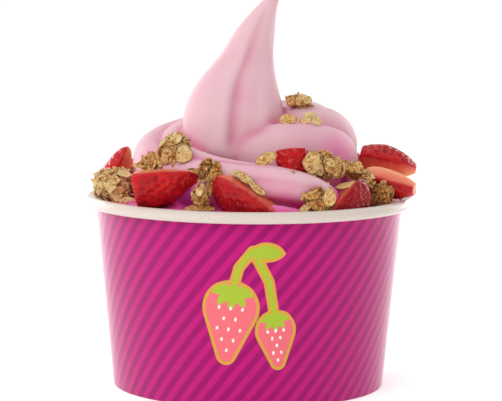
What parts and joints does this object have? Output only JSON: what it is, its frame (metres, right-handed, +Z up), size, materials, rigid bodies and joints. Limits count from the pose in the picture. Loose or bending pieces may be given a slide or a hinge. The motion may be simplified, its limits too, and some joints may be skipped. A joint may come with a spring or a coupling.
{
  "type": "frozen yogurt cup",
  "caption": "Short round paper cup heaped with a piped swirl of pink frozen yogurt, topped with cut strawberries and granola clusters round the rim.",
  "frame": {"origin": "on the cup's axis, in the plane of the flat fold that the cup stands on", "axes": "+Z up along the cup's axis; -Y is the front, where the tail of the swirl lies; +X is to the right, where the peak's tip bends"},
  "size_m": [0.1168, 0.115, 0.1397],
  "materials": {
    "printed_board": "gloss",
    "white_board": "satin",
    "frozen_yogurt": "satin",
    "strawberry": "gloss",
    "granola": "matte"
  },
  "bodies": {
    "root": {"cup_wall": "printed_board", "cup_base": "white_board", "frozen_yogurt": "frozen_yogurt", "strawberry_01": "strawberry", "strawberry_02": "strawberry", "strawberry_03": "strawberry", "strawberry_04": "strawberry", "strawberry_05": "strawberry", "strawberry_06": "strawberry", "strawberry_07": "strawberry", "strawberry_08": "strawberry", "strawberry_09": "strawberry", "strawberry_10": "strawberry", "strawberry_11": "strawberry", "strawberry_12": "strawberry", "granola_01": "granola", "granola_02": "granola", "granola_03": "granola", "granola_04": "granola", "granola_05": "granola", "granola_06": "granola", "granola_07": "granola", "granola_08": "granola", "granola_09": "granola", "granola_10": "granola", "granola_11": "granola", "granola_12": "granola", "granola_13": "granola", "granola_14": "granola", "granola_15": "granola", "granola_16": "granola", "granola_17": "granola"}
  },
  "joints": []
}
